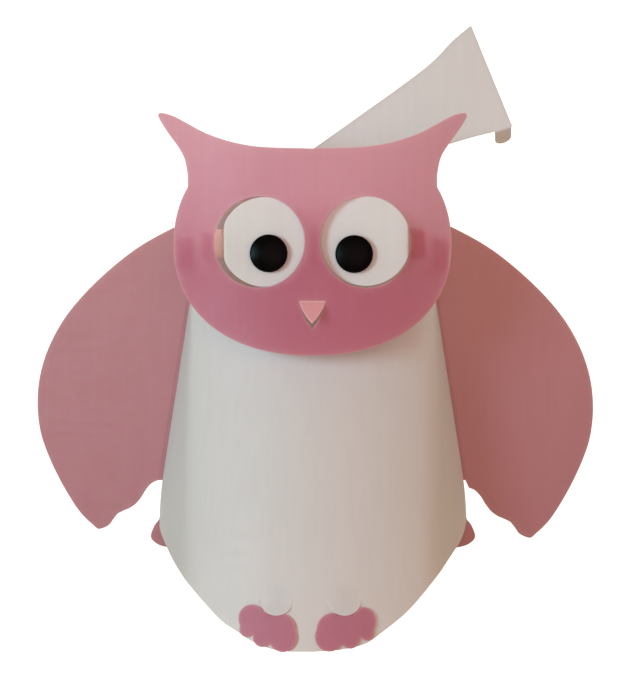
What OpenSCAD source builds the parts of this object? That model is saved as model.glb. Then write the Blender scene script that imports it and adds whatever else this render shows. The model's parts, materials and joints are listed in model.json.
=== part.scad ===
// Owl puppet of thin bent plastic sheet, millimetres. X across, Y front (-) to back (+), Z up.
// The origin is the centre of the hang hole, on the rear face of the back panel.

/* [Sheet] */
// Thickness of every plastic sheet
sheet = 0.8; // [0.6:0.1:1.0]
// Clearance between a rivet and the sheet that turns on it
running_gap = 0.06; // [0.04:0.01:0.10]

/* [Body sleeve] */
// Half the body's width at the side seam, level with the hang hole
seam_top = 57.1; // [55:0.1:59]
// How much the seam moves out for each millimetre down
seam_flare = 0.159; // [0.14:0.001:0.18]
// Half the distance between the two soft side folds
fold_half = 60.5; // [59:0.1:62]
// Depth of the side folds in front of the back panel, level with the hang hole
fold_depth = 23.3; // [20:0.1:28]
// How much deeper the folds lie for each millimetre down
fold_lean = 0.16; // [0.12:0.01:0.20]
// How far the front bows out between the folds
front_bow = 20; // [16:1:24]
// Length over which a soft side fold is rounded
fold_soft = 9; // [6:1:12]

/* [Head] */
// Height of the eye line, below the hang hole
eye_z = -16; // [-18:1:-14]
// Front of the face mask at its middle
face_y = -70; // [-74:1:-68]
// Bending radius of the mask
mask_r = 125; // [115:5:140]
// Radius of the eye holes
eye_hole_r = 21.8; // [21:0.1:22.5]
// Distance from the middle to each eye hole's centre
eye_x = 25.6; // [25:0.1:27]
// Radius of the white eye discs
disc_r = 21.4; // [20:0.1:21.4]
// Radius of the black pupils
pupil_r = 9; // [7:0.5:10]
// How far the beak is bent out of the mask, in degrees
beak_open = 38; // [20:1:45]

/* [Wings] */
// How far the wings are swept back behind the panel, in degrees
wing_sweep = 10; // [0:1:15]
// Size of the right wing, which is cut a little larger than the left
right_wing_size = 1.03; // [1:0.01:1.04]

/* [Strap] */
// Strap pivot, across from the middle
strap_x = -14.6; // [-18:0.1:-12]
// Strap pivot, above the hang hole
strap_z = 20.5; // [19:0.5:22]

/* [Hang hole] */
// Radius of the hang hole
hang_r = 3; // [2:0.5:4]

/* [Hidden] */
$fn = 64;

pink = [0.72, 0.44, 0.49];
deep_pink = [0.66, 0.38, 0.43];
white = [0.88, 0.87, 0.86];
black = [0.06, 0.05, 0.05];

// Heights of the body sleeve
sleeve_top_z = 6;
seam_widest = 80;
seam_widest_z = (seam_top - seam_widest) / seam_flare;
flange_top_z = -3;
flange_end_z = -136;
flange_w = 12;
wing_top_z = 1;
wing_end_z = -135.4;

// Fold line of the wings: just outside the seam, halfway through the wing's sheet
hinge_out = 1;
hinge_gap = 0.5;
hinge_y = -1.5 * sheet;

// Rivets: positions and sizes
side_rivet_z = [-28, -118];
side_rivet_in = 6.5;
side_rivet_r = 1.6;
side_head_r = 3.6;
head_pivot_y = -14;
head_pivot_z = -20;
rivet_r = 2;
rivet_head_r = 4.5;
rivet_head_h = 1.2;
hole_fit = 0.05;
cap_fit = 0.02;
strap_y = 0.3;

// Eye discs: [centre x, centre z, fold x], each as distances from the middle
left_disc = [22.6, eye_z + 0.1, 42.3];
right_disc = [25.6, eye_z + 0.5, 45.9];
disc_y = face_y + 4.1;
disc_tab_half = 6.9;
left_pupil_at = [-20.8, -21.5];
right_pupil_at = [19.9, -21.8];

// Beak: fold line, width and length
beak_z = -44.2;
beak_w = 12.8;
beak_h = 13.3;

// Feet: middle of the U tongues, and how each foot sits behind its tongue
foot_x = 16.2;
foot_off = -0.8;
foot_z = -186.4;
tongue_r = 8.5;
tongue_drop = 1.9;
tongue_lift = 16;

// ---------- curves and sheet helpers ----------

// Smooth curve through the points p, n steps between neighbours
function spline(p, n = 4) = concat(
    [for (i = [0 : len(p) - 2], k = [0 : n - 1])
        let (t = k / n, a = p[max(i - 1, 0)], b = p[i], c = p[i + 1], d = p[min(i + 2, len(p) - 1)])
        0.5 * (2 * b + (c - a) * t + (2 * a - 5 * b + 4 * c - d) * t * t
               + (3 * b - a - 3 * c + d) * t * t * t)],
    [p[len(p) - 1]]);
function reversed(p) = [for (i = [len(p) - 1 : -1 : 0]) p[i]];
function flipped(p) = [for (q = reversed(p)) [-q[0], q[1]]];
// Both halves of an outline that is given from the middle, round the right, to the middle
function both_sides(p) = concat(p, flipped(p));
function unit(v) = v / norm(v);
function side_normal(a, b) = let (u = unit(b - a)) [-u[1], u[0]];
// The points of path moved sideways by t, to the left of its direction
function moved(path, t) = [for (i = [0 : len(path) - 1])
    let (m = side_normal(path[max(i - 1, 0)], path[max(i, 1)]),
         n = side_normal(path[min(i, len(path) - 2)], path[min(i + 1, len(path) - 1)]))
    path[i] + t * (m + n) / (1 + m * n)];
// Closed outline of a sheet of thickness t that follows path
function strip(path, t) = concat(path, reversed(moved(path, t)));
function mirrored_x(p, side) = [for (q = p) [side * q[0], q[1]]];

// Solid from y_front back to y_front + t, of a front-view outline
module plate(y_front, t) {
    translate([0, y_front + t, 0]) rotate([90, 0, 0]) linear_extrude(t) children();
}
module y_cylinder(r, y_front, length) {
    translate([0, y_front, 0]) rotate([-90, 0, 0]) cylinder(r = r, h = length);
}
module x_cylinder(r, x_from, length) {
    translate([x_from, 0, 0]) rotate([0, 90, 0]) cylinder(r = r, h = length);
}

// ---------- body sleeve surface ----------

function seam_half(z) = min(seam_top - seam_flare * z, seam_widest);
function fold_at(z) = fold_depth - fold_lean * z;
bow_r = (fold_half * fold_half + front_bow * front_bow) / (2 * front_bow);
bow_angle = asin(fold_half / bow_r);
bow_stop = bow_angle * (1 - fold_soft / (bow_r * bow_angle * PI / 180));
seam_y = -2 * sheet;
// Front of the body at a place x, z between the folds
function front_y(x, z) = -fold_at(z) - front_bow + bow_r - sqrt(bow_r * bow_r - x * x);

bow_steps = 12;
soft_steps = 5;
side_steps = 7;
// Right half of the body's section, from the middle of the front, round the soft fold, to the seam
function half_section(z) = let (
    corner = [fold_half, -fold_at(z)],
    seam = [seam_half(z), seam_y],
    start = [bow_r * sin(bow_stop), front_y(bow_r * sin(bow_stop), z)],
    end = corner + fold_soft * unit(seam - corner))
    concat([for (i = [0 : bow_steps - 1]) let (x = bow_r * sin(bow_stop * i / bow_steps)) [x, front_y(x, z)]],
           [for (i = [0 : soft_steps]) let (t = i / soft_steps)
               start * (1 - t) * (1 - t) + corner * 2 * t * (1 - t) + end * t * t],
           [for (i = [1 : side_steps]) end + (seam - end) * i / side_steps]);
function full_section(z) = let (h = half_section(z))
    concat([for (q = reversed(h)) [-q[0], q[1]]], [for (i = [1 : len(h) - 1]) h[i]]);
// The inner face of the sheet, whose two ends lie in the seam's plane
function inner_section(z) = [for (q = moved(full_section(z), sheet)) [q[0], min(q[1], seam_y)]];

// The hem, from its middle out to each seam; it is cut a little lower on the left
left_hem = spline([[0, -209.3], [16, -209], [28, -205.6], [36.3, -200.9], [44.2, -196.3], [57.9, -183.9],
                   [64, -179], [70.6, -173.3], [76.6, -165.7], [79.4, -160.4], [80.2, -156], [81, -150]]);
right_hem = spline([[0, -209.3], [13, -208.6], [25, -206.3], [33.5, -201.2], [46.3, -192.1], [59.5, -179.3],
                    [69.9, -170.6], [74.6, -166.6], [78, -161.6], [79.8, -155.5], [81, -149]]);
function hem_z(x) = lookup(abs(x), x < 0 ? left_hem : right_hem);
// Height at which ruling i of the sleeve meets the hem
function ruling_end(i, z = -180, tries = 8) =
    tries == 0 ? z : ruling_end(i, hem_z(full_section(z)[i][0]), tries - 1);

// The bowed sheet between the seams: straight rulings from the top, past the widest seam, to the hem
module bowed_sheet() {
    half = len(full_section(0));
    n = 2 * half;
    ends = [for (i = [0 : half - 1]) ruling_end(i)];
    function row_z(j, i) = j == 0 ? sleeve_top_z : j == 1 ? seam_widest_z : ends[i];
    function row(j) = concat(
        [for (i = [0 : half - 1]) let (z = row_z(j, i), q = full_section(z)[i]) [q[0], q[1], z]],
        [for (i = [half - 1 : -1 : 0]) let (z = row_z(j, i), q = inner_section(z)[i]) [q[0], q[1], z]]);
    points = [for (j = [0 : 2], q = row(j)) q];
    sides = [for (j = [0, 1], i = [0 : n - 1], k = [0, 1])
        let (a = j * n + i, b = j * n + (i + 1) % n, c = a + n, d = b + n)
        k == 0 ? [a, b, d] : [a, d, c]];
    top_cap = [for (i = [0 : half - 2]) [i, n - 1 - i, n - 2 - i, i + 1]];
    low_cap = [for (i = [0 : half - 2], k = [0, 1])
        let (a = 2 * n + i, b = a + 1, c = 3 * n - 2 - i, d = c + 1)
        k == 0 ? [a, b, c] : [a, c, d]];
    polyhedron(points, concat(sides, top_cap, low_cap), convexity = 6);
}

// Moves children to the sleeve's surface under a foot: Y points into the body, Z up its slope
module on_front(side) {
    x = side * foot_x + foot_off;
    translate([x, front_y(x, foot_z), foot_z]) rotate([0, 0, asin(x / bow_r)])
        rotate([-atan(fold_lean), 0, 0]) children();
}
module tongue_outline(r) {
    intersection() {
        translate([0, tongue_drop]) circle(r);
        translate([-15, -15]) square([30, 15.3]);
    }
}

module flange(side) {
    plate(seam_y - sheet, sheet) polygon(mirrored_x([
        [seam_half(flange_top_z) - sheet / 2, flange_top_z],
        [seam_half(flange_end_z) - sheet / 2, flange_end_z],
        [seam_half(flange_end_z) - flange_w + 4, flange_end_z],
        [seam_half(flange_end_z) - flange_w, flange_end_z + 6],
        [seam_half(flange_top_z) - flange_w, flange_top_z - 6],
        [seam_half(flange_top_z) - flange_w + 4, flange_top_z]], side));
}
module at_side_rivets() {
    for (side = [-1, 1], z = side_rivet_z)
        translate([side * (seam_half(z) - side_rivet_in), 0, z]) children();
}
module at_mask_pivots() {
    for (side = [-1, 1])
        translate([0, head_pivot_y, head_pivot_z]) mirror([side < 0 ? 1 : 0, 0, 0]) children();
}

module body_front() color(white) {
    difference() {
        union() {
            bowed_sheet();
            for (side = [-1, 1]) flange(side);
        }
        at_side_rivets() y_cylinder(side_rivet_r + hole_fit, -8, 9);
        at_mask_pivots() x_cylinder(rivet_r + hole_fit, 50, 15);
        for (side = [-1, 1]) on_front(side) plate(-3, 6) tongue_outline(tongue_r + 0.3);
    }
    for (side = [-1, 1]) on_front(side)
        translate([0, sheet * 0.55, 0.3]) rotate([-tongue_lift, 0, 0]) translate([0, 0, -0.3])
            plate(-sheet / 2, sheet) tongue_outline(tongue_r);
}

// ---------- back ----------

panel_head = [[0, 29], [22, 26.5], [40, 19], [50.5, 8], [55.5, -4]];
tail_side = [[79.4, -150], [79.9, -155.5], [82.4, -159], [84.3, -164.5], [82.2, -167.9], [76.5, -170.3],
             [60, -172.6], [30, -175.4], [0, -176.5]];
module back_panel() color(deep_pink) difference() {
    plate(-sheet, sheet) polygon(both_sides(concat(spline(panel_head),
        [[seam_half(-30) - 0.6, -30], [seam_half(-138) - 0.6, -138]], spline(tail_side))));
    y_cylinder(hang_r, -5, 10);
    translate([strap_x, 0, strap_z]) y_cylinder(rivet_r + hole_fit, -5, 10);
    at_side_rivets() y_cylinder(side_rivet_r + hole_fit, -5, 10);
}

module wing_root(side) color(deep_pink) difference() {
    plate(-2 * sheet, sheet) polygon(mirrored_x([
        [seam_half(wing_top_z - 4) + hinge_out - hinge_gap, wing_top_z - 4],
        [seam_half(wing_end_z) + hinge_out - hinge_gap, wing_end_z],
        [seam_half(wing_end_z) - flange_w + 1, wing_end_z],
        [seam_half(wing_top_z - 4) - flange_w + 1, wing_top_z - 4]], side));
    at_side_rivets() y_cylinder(side_rivet_r + hole_fit, -5, 10);
}
module left_wing_root() wing_root(-1);
module right_wing_root() wing_root(1);

// Wing outline, flat, from its top inner corner round the tip to its lower inner corner
wing_edge = [[57.6, 2], [75, -5.2], [94, -15.6], [113.5, -31], [129, -47.2], [139, -63], [144.8, -79],
             [146.6, -94.5], [145.2, -109], [141.3, -121], [133.7, -136.3], [123.5, -151.8], [114.8, -160]];
wing_tip = [[114.8, -160], [112.6, -161.4], [109.4, -160.6], [106.6, -158.9], [104.5, -156],
            [102.2, -153.2]];
wing_lobe = [[102.2, -153.2], [99, -151.6], [95.5, -150.1], [92, -147.5], [89.2, -144]];
wing_notch = [[89.2, -144], [86.8, -140.2], [84, -137.2], [80.6, -135.6], [78, -135.2]];
function sized(p, size) = let (corner = [66, -6]) [for (q = p) corner + size * (q - corner)];
module wing(side, size) {
    outline = concat(spline(wing_edge), spline(wing_tip, 3), spline(wing_lobe, 3), spline(wing_notch, 3));
    hinge = [side * (seam_half(0) + hinge_out), hinge_y, 0];
    axis = [-side * seam_flare, 0, 1];
    free_x = seam_top + hinge_out + hinge_gap;
    color(pink) translate(hinge) rotate(a = side * wing_sweep, v = axis) translate(-hinge)
        intersection() {
            plate(-2 * sheet, sheet) polygon(mirrored_x(sized(outline, size), side));
            plate(-2 * sheet - 1, sheet + 2) polygon(mirrored_x([[free_x - 20 * seam_flare, 20],
                [200, 20], [200, -200], [free_x + 200 * seam_flare, -200]], side));
        }
}
module left_wing() wing(-1, 1);
module right_wing() wing(1, right_wing_size);

// ---------- head ----------

crown = [[0, 28.2], [20.5, 29], [32, 30.5], [42, 33.2], [52, 37.2], [60, 41.8], [67.5, 46.2], [72.3, 48.2],
         [75.2, 48.8]];
tuft = [[75.2, 48.8], [76, 47.5], [74.2, 43.8], [70.5, 38.2], [65, 30.5], [62.1, 24.9], [60.6, 17.5]];
face_w = 67.8;
face_h = 54.4;
face_power = 0.91;
notch_angle = 28;
// Lower face, from the notch under the tuft round to the chin
function face_curve() = [for (i = [0 : 26]) let (a = notch_angle - i * (90 + notch_angle) / 26)
    [face_w * pow(max(cos(a), 0), face_power),
     eye_z + 0.2 + face_h * sign(sin(a)) * pow(abs(sin(a)), face_power)]];
module beak_outline(gap) {
    w = beak_w / 2 + gap;
    right = spline([[w, beak_z - gap], [w * 0.78, beak_z - beak_h * 0.33], [w * 0.42, beak_z - beak_h * 0.7],
                    [0, beak_z - beak_h - gap]], 3);
    polygon(both_sides(concat([[0, beak_z - gap]], right)));
}

// Side tabs of the mask, in plan: from its edge back to the pivot beside the body
tab_path = [[65.9, -50.7], [62.3, -27], [62.3, head_pivot_y + 7]];
tab_half = 7.5;
module mask_tab(side) {
    translate([0, 0, head_pivot_z]) intersection() {
        translate([0, 0, -tab_half]) linear_extrude(2 * tab_half)
            polygon(mirrored_x(strip(tab_path, sheet), side));
        translate([side * 50, 0, 0]) mirror([side < 0 ? 1 : 0, 0, 0]) union() {
            translate([0, head_pivot_y, 0]) x_cylinder(tab_half - 0.5, 0, 20);
            translate([0, -60, -tab_half]) cube([20, 60 + head_pivot_y, 2 * tab_half]);
        }
    }
}
module face_mask() color(pink) difference() {
    union() {
        intersection() {
            difference() {
                translate([0, face_y + mask_r, -80]) cylinder(r = mask_r, h = 140, $fn = 180);
                translate([0, face_y + mask_r, -81]) cylinder(r = mask_r - sheet, h = 142, $fn = 180);
            }
            plate(face_y - 5, 60) polygon(both_sides(concat(spline(crown, 3), spline(tuft, 3), face_curve())));
        }
        for (side = [-1, 1]) mask_tab(side);
    }
    for (side = [-1, 1])
        translate([side * eye_x, 0, eye_z]) y_cylinder(eye_hole_r, face_y - 5, 30);
    plate(face_y - 5, 12) {
        beak_outline(0.35);
        translate([-beak_w / 2, beak_z - 1]) square([beak_w, 1]);
    }
    at_mask_pivots() x_cylinder(rivet_r + running_gap, 55, 15);
}

module beak_flap() color([0.83, 0.53, 0.54]) {
    pivot = [0, face_y + sheet / 2, beak_z];
    translate(pivot) rotate([-beak_open, 0, 0]) translate(-pivot) plate(face_y, sheet)
        intersection() {
            beak_outline(0);
            translate([-20, beak_z - 40.6]) square([40, 40]);
        }
}

// An eye disc with its folded side tab; path is the tab in plan
module eye_disc(side, at, path) color(white) {
    difference() {
        plate(disc_y, sheet) intersection() {
            translate([side * at[0], at[1]]) circle(disc_r, $fn = 128);
            translate([side > 0 ? -10 : -at[2], -60]) square([at[2] + 10, 90]);
        }
        pupil = side < 0 ? left_pupil_at : right_pupil_at;
        translate([pupil[0], 0, pupil[1]]) y_cylinder(rivet_r + hole_fit, disc_y - 2, 5);
    }
    translate([0, 0, at[1] - disc_tab_half]) linear_extrude(2 * disc_tab_half)
        polygon(mirrored_x(strip(path, sheet), side));
}
module left_eye_disc() eye_disc(-1, left_disc, [[left_disc[2], disc_y], [42.7, -52.6], [57, -54.6]]);
module right_eye_disc() eye_disc(1, right_disc, [[right_disc[2], disc_y], [45.9, -59.8], [57, -54.8]]);

// Snap button: a domed cap with a short side wall, standing on a shank
pupil_wall = 1.6;
pupil_dome = 2.4;
pupil_dome_r = (pupil_r * pupil_r + pupil_dome * pupil_dome) / (2 * pupil_dome);
module pupil(at) color(black) translate([at[0], disc_y, at[1]]) rotate([90, 0, 0]) {
    rotate_extrude($fn = 96) polygon(concat([[0, 0.2], [pupil_r - 0.8, 0.2], [pupil_r, 0.8]],
        [for (i = [0 : 10]) let (a = asin(pupil_r / pupil_dome_r) * (1 - i / 10))
            [pupil_dome_r * sin(a), pupil_wall + pupil_dome - pupil_dome_r * (1 - cos(a))]]));
    translate([0, 0, -sheet - 2.4]) cylinder(r = rivet_r, h = sheet + 2.7);
}
module left_pupil() pupil(left_pupil_at);
module right_pupil() pupil(right_pupil_at);

// Back half of a snap button, pressed over the shank
module pupil_cap(at) color(black) translate([at[0], disc_y + sheet, at[1]]) difference() {
    union() {
        y_cylinder(6, 0, 0.8);
        y_cylinder(3.6, 0.7, 2.3);
    }
    y_cylinder(rivet_r + cap_fit, -1, 3.45);
}
module left_pupil_cap() pupil_cap(left_pupil_at);
module right_pupil_cap() pupil_cap(right_pupil_at);

// ---------- feet ----------

// Lobes of a foot: [x outwards, z, radius], measured from the middle of the tongue's root
foot_lobes = [[11.4, -9.6, 7.7], [5, -11.5, 7.5], [-1.2, -13.9, 8], [14.8, -13.3, 3.9], [7, -16.8, 4.4],
              [-2.2, -16, 7.1]];
foot_gap = 0.3;
root_w = 7;
// Root of a foot in side view: from the foot's sheet, through the tongue's slot, up inside the body
root_path = [[-foot_gap - sheet, -10], [-foot_gap - sheet, -6.6], [sheet + 0.3, -3], [sheet + 0.3, 7]];
module foot(side, shift, turn) color(pink) on_front(side) {
    plate(-foot_gap - sheet, sheet) difference() {
        translate([side * shift, 0]) rotate(side * turn) union() {
            for (lobe = foot_lobes) translate([side * lobe[0], lobe[1]]) circle(lobe[2], $fn = 64);
        }
        translate([-30, -6]) intersection() {
            square([60, 20]);
            translate([30, 6 + tongue_drop]) circle(tongue_r + 0.6);
        }
    }
    rotate([90, 0, 90]) translate([0, 0, -root_w / 2]) linear_extrude(root_w)
        polygon(strip(root_path, -sheet));
}
module left_foot() foot(-1, 0, 0);
module right_foot() foot(1, -2.7, -5);

// ---------- strap ----------

// Upper edge out to the free end, then the lower edge back to the pivot's round end
strap_upper = [[-17, 25.6], [1, 37.4], [28.6, 57], [43.5, 67.6], [61, 81], [73, 93.2], [82.3, 101]];
strap_lower = [[103.9, 48.4], [95.5, 46], [82, 42.6], [40, 30], [-12.6, 15.4]];
tongue_w = 8.8;
lock_bend = 65;
lock_len = 9.5;
module hand_strap() color(white) difference() {
    union() {
        plate(strap_y, sheet) union() {
            polygon(concat(spline(strap_upper, 3), strap_lower));
            translate([strap_x, strap_z]) circle(5.6);
        }
        // Locking tongue, folded back at the lower free corner
        translate([98.9, strap_y + sheet / 2, 47.4]) rotate([lock_bend, 0, 0])
            translate([0, -sheet / 2, 0]) plate(0, sheet) union() {
                translate([0, -lock_len]) circle(tongue_w / 2);
                translate([-tongue_w / 2, -lock_len]) square([tongue_w, lock_len + 0.4]);
            }
    }
    translate([strap_x, 0, strap_z]) y_cylinder(rivet_r + running_gap, -5, 10);
}
module strap_rivet() color(white) translate([strap_x, 0, strap_z]) {
    y_cylinder(rivet_r, -1.9, strap_y + sheet + 0.3 + 2);
    y_cylinder(rivet_head_r, strap_y + sheet + 0.3, rivet_head_h);
}
module strap_rivet_cap() color(white) translate([strap_x, 0, strap_z]) difference() {
    y_cylinder(rivet_head_r, -sheet - 1.6, 1.6);
    y_cylinder(rivet_r + cap_fit, -sheet - 1.15, 3);
}

// ---------- other rivets ----------

module side_rivets() color(pink) at_side_rivets() {
    y_cylinder(side_rivet_r, -3 * sheet - 0.9, 3 * sheet + 1);
    y_cylinder(side_head_r, 0, rivet_head_h);
}
module side_rivet_caps() color(white) at_side_rivets() difference() {
    y_cylinder(side_head_r, -3 * sheet - 1.4, 1.4);
    y_cylinder(side_rivet_r + cap_fit, -3 * sheet - 0.95, 3);
}
tab_outer_x = 62.3;
sleeve_inner_x = 58.4;
module mask_rivets() color(pink) at_mask_pivots() {
    x_cylinder(rivet_r, sleeve_inner_x - 1.2, tab_outer_x - sleeve_inner_x + 1.6);
    x_cylinder(rivet_head_r, tab_outer_x + 0.3, rivet_head_h);
}
module mask_rivet_caps() color(white) at_mask_pivots() difference() {
    x_cylinder(rivet_head_r, sleeve_inner_x - 1.7, 1.7);
    x_cylinder(rivet_r + cap_fit, sleeve_inner_x - 1.25, 3);
}

back_panel();
body_front();
left_wing_root();
right_wing_root();
left_wing();
right_wing();
face_mask();
beak_flap();
left_eye_disc();
right_eye_disc();
left_pupil();
right_pupil();
left_pupil_cap();
right_pupil_cap();
left_foot();
right_foot();
hand_strap();
strap_rivet();
strap_rivet_cap();
side_rivets();
side_rivet_caps();
mask_rivets();
mask_rivet_caps();
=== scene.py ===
"""The looks of the owl puppet of bent plastic sheet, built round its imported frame.

Places and sizes are in millimetres, in the frame's own axes: X across, -Y front, Z up.
Each sheet is cut out flat, in a plane (u, v), and a place function bends it into the figure.
"""

import json  # noqa: E402
import math  # noqa: E402

import bpy  # noqa: E402
import numpy as np  # noqa: E402
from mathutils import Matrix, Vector  # noqa: E402
from mathutils.geometry import delaunay_2d_cdt  # noqa: E402


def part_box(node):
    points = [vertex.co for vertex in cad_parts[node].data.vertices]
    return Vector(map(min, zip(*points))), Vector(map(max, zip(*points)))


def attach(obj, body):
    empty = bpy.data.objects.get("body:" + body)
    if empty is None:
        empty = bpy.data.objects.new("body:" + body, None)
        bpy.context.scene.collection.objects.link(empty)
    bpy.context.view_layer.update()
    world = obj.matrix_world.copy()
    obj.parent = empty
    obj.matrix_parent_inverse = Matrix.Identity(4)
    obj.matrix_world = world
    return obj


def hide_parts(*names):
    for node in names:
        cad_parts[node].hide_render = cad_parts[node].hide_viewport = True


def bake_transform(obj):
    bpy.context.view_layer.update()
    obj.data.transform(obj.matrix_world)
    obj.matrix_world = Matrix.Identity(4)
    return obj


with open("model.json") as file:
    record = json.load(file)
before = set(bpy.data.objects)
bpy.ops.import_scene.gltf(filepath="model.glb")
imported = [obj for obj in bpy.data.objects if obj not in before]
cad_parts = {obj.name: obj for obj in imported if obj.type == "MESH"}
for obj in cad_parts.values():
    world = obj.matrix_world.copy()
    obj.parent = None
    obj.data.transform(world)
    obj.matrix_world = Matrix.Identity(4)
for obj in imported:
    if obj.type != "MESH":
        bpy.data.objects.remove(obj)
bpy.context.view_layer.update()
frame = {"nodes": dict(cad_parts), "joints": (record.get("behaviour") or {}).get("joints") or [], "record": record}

MM = 0.001
JOINTS = {j["name"]: j for j in frame["joints"]}


def node_box(name):
    """Lowest and highest corner of a CAD node, in millimetres."""
    low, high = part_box(name)
    return np.array(low) / MM, np.array(high) / MM


def joint_at(name):
    return np.array(JOINTS[name]["pos_m"]) / MM


# ---------- sizes ----------

SHEET = 0.8
EDGE_R = 0.2  # rounding of a cut edge
PALE_EDGE = 0.6  # width of the band along a cut edge that takes the cut colour: paler on most sheets, painted shade on the strap
EDGE_ROWS = (0.06, 0.2, 0.5)  # rows of points along each edge, from the edge inwards
GRID = 2.6  # spacing of the points inside a sheet
CUT_STEP = 0.9  # spacing of the points along a cut edge

# Body sleeve
SEAM_TOP, SEAM_FLARE, SEAM_WIDEST, SEAM_EASE = 57.1, 0.159, 80.1, 0.9
FOLD_HALF, FOLD_DEPTH, FOLD_LEAN, FRONT_BOW, FOLD_SOFT = 60.5, 23.3, 0.16, 20, 9
SEAM_Y = -2 * SHEET
SLEEVE_TOP = 6
FLANGE_TOP, FLANGE_END, FLANGE_W = -3, -136, 12
SIDE_RUN, SEAM_BEND_R = 30, 0.9
BOW_R = (FOLD_HALF**2 + FRONT_BOW**2) / (2 * FRONT_BOW)
BOW_END = BOW_R * math.asin(FOLD_HALF / BOW_R) - FOLD_SOFT
SOFT_END = BOW_END + 2 * FOLD_SOFT
SIDE_END = SOFT_END + SIDE_RUN
BEND_END = SIDE_END + 1.8
SIDE_RIVET_Z, SIDE_RIVET_IN = (-28, -118), 6.5

# Holes: round a fixed shank, round a shank that the sheet turns on, and round a side rivet
FIXED_HOLE_R, TURNING_HOLE_R, SIDE_HOLE_R = 2.05, 2.06, 1.65

# Feet and their tongues
FOOT_X, FOOT_OFF, FOOT_Z = 16.2, -0.8, -186.4
TONGUE_R, TONGUE_SLIT, TONGUE_DROP, TONGUE_LIFT = 8.5, 0.1, 1.9, 16
TONGUE_FOLD = 0.3
FOOT_LIFT = 1.1  # front of a foot's sheet in front of the body
NECK_HALF = 3.5

# Head
MASK_FRONT = node_box("face_mask")[0][1]
MASK_R, EYE_Z, EYE_X, EYE_HOLE_R = 125, -16, 25.6, 21.8
DISC_FRONT = node_box("left_eye_disc")[0][1]
DISC_R, DISC_TAB_HALF = 21.4, 6.9
BEAK_Z, BEAK_W, BEAK_H, BEAK_OPEN = joint_at("beak_fold")[2], 12.8, 13.3, 38
PIVOT_Y, PIVOT_Z = joint_at("head_nod")[1:]

# Wings: fold line outside the seam, halfway through the wing's sheet
HINGE_OUT, HINGE_Y, WING_SWEEP = 1, -1.5 * SHEET, 10

# Strap
STRAP_FRONT = 0.3
STRAP_PIVOT = np.array([joint_at("strap_swing")[0], joint_at("strap_swing")[2]])


# ---------- outlines ----------


def spline(points, n=6):
    """Smooth curve through the points, n steps between neighbours."""
    p = np.array(points, float)
    p = np.vstack([p[:1], p, p[-1:]])
    t = np.arange(n)[:, None] / n
    runs = []
    for a, b, c, d in zip(p, p[1:], p[2:], p[3:]):
        runs.append(
            0.5 * (2 * b + (c - a) * t + (2 * a - 5 * b + 4 * c - d) * t**2)
            + 0.5 * (3 * b - a - 3 * c + d) * t**3
        )
    return np.vstack(runs + [p[-1:]])


def arc(centre, r, start, end, n=None):
    """Points of an arc, angles in degrees."""
    n = n or max(3, int(abs(math.radians(end - start)) * r / (0.8 * CUT_STEP)) + 1)
    a = np.radians(np.linspace(start, end, n))
    return np.column_stack([centre[0] + r * np.cos(a), centre[1] + r * np.sin(a)])


def circle(centre, r):
    return arc(centre, r, 0, 360)[:-1]


def join(*runs):
    """One closed outline from runs of points, without doubled points."""
    p = np.vstack([np.array(r, float).reshape(-1, 2) for r in runs])
    keep = np.linalg.norm(p - np.roll(p, 1, 0), axis=1) > 0.02
    return p[keep]


def flipped(points):
    """The points mirrored in the middle line, in reverse order."""
    return (np.array(points, float) * [-1, 1])[::-1]


def both_sides(points):
    return join(points, flipped(points))


def cut_at(loop, rows):
    """The closed loop with a point wherever it crosses u = row."""
    made = []
    for p, q in zip(loop, np.roll(loop, -1, 0)):
        made.append(p)
        at = [(r - p[0]) / (q[0] - p[0]) for r in rows if (r - p[0]) * (r - q[0]) < 0]
        made += [p + (q - p) * t for t in sorted(at) if 0.02 < t < 0.98]
    return np.array(made)


def refined(loop, step=CUT_STEP):
    """The closed loop with its long edges split."""
    made = []
    for p, q in zip(loop, np.roll(loop, -1, 0)):
        n = max(1, int(math.ceil(np.linalg.norm(q - p) / step)))
        made += [p + (q - p) * i / n for i in range(n)]
    return np.array(made)


def inside(points, loops):
    """Whether each point lies in the region that the loops bound."""
    hits = np.zeros(len(points), int)
    for loop in loops:
        a, b = loop, np.roll(loop, -1, 0)
        for s in range(0, len(points), 2000):
            x, y = points[s : s + 2000, 0:1], points[s : s + 2000, 1:2]
            spans = (a[:, 1] > y) != (b[:, 1] > y)
            rise = np.where(b[:, 1] == a[:, 1], 1, b[:, 1] - a[:, 1])
            across = a[:, 0] + (y - a[:, 1]) * (b[:, 0] - a[:, 0]) / rise
            hits[s : s + 2000] += (spans & (x < across)).sum(1)
    return hits % 2 == 1


def edge_distance(points, loops):
    """Distance from each point to the nearest edge of the loops."""
    a = np.vstack(loops)
    d = np.vstack([np.roll(loop, -1, 0) for loop in loops]) - a
    length2 = np.maximum((d**2).sum(1), 1e-12)
    near = np.empty(len(points))
    for s in range(0, len(points), 1000):
        p = points[s : s + 1000, None, :] - a
        t = np.clip((p * d).sum(2) / length2, 0, 1)
        near[s : s + 1000] = np.sqrt(((p - d * t[:, :, None]) ** 2).sum(2).min(1))
    return near


def apart(points, spacing, others=()):
    """The points that are further than spacing from those kept before them and from others."""
    cells = {}

    def cell(p):
        return int(p[0] // spacing), int(p[1] // spacing)

    def near(p):
        i, j = cell(p)
        return any(
            (p[0] - q[0]) ** 2 + (p[1] - q[1]) ** 2 < spacing**2
            for di in (-1, 0, 1)
            for dj in (-1, 0, 1)
            for q in cells.get((i + di, j + dj), ())
        )

    for p in others:
        cells.setdefault(cell(p), []).append(p)
    kept = []
    for p in points:
        if not near(p):
            kept.append(p)
            cells.setdefault(cell(p), []).append(p)
    return np.array(kept).reshape(-1, 2)


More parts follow.
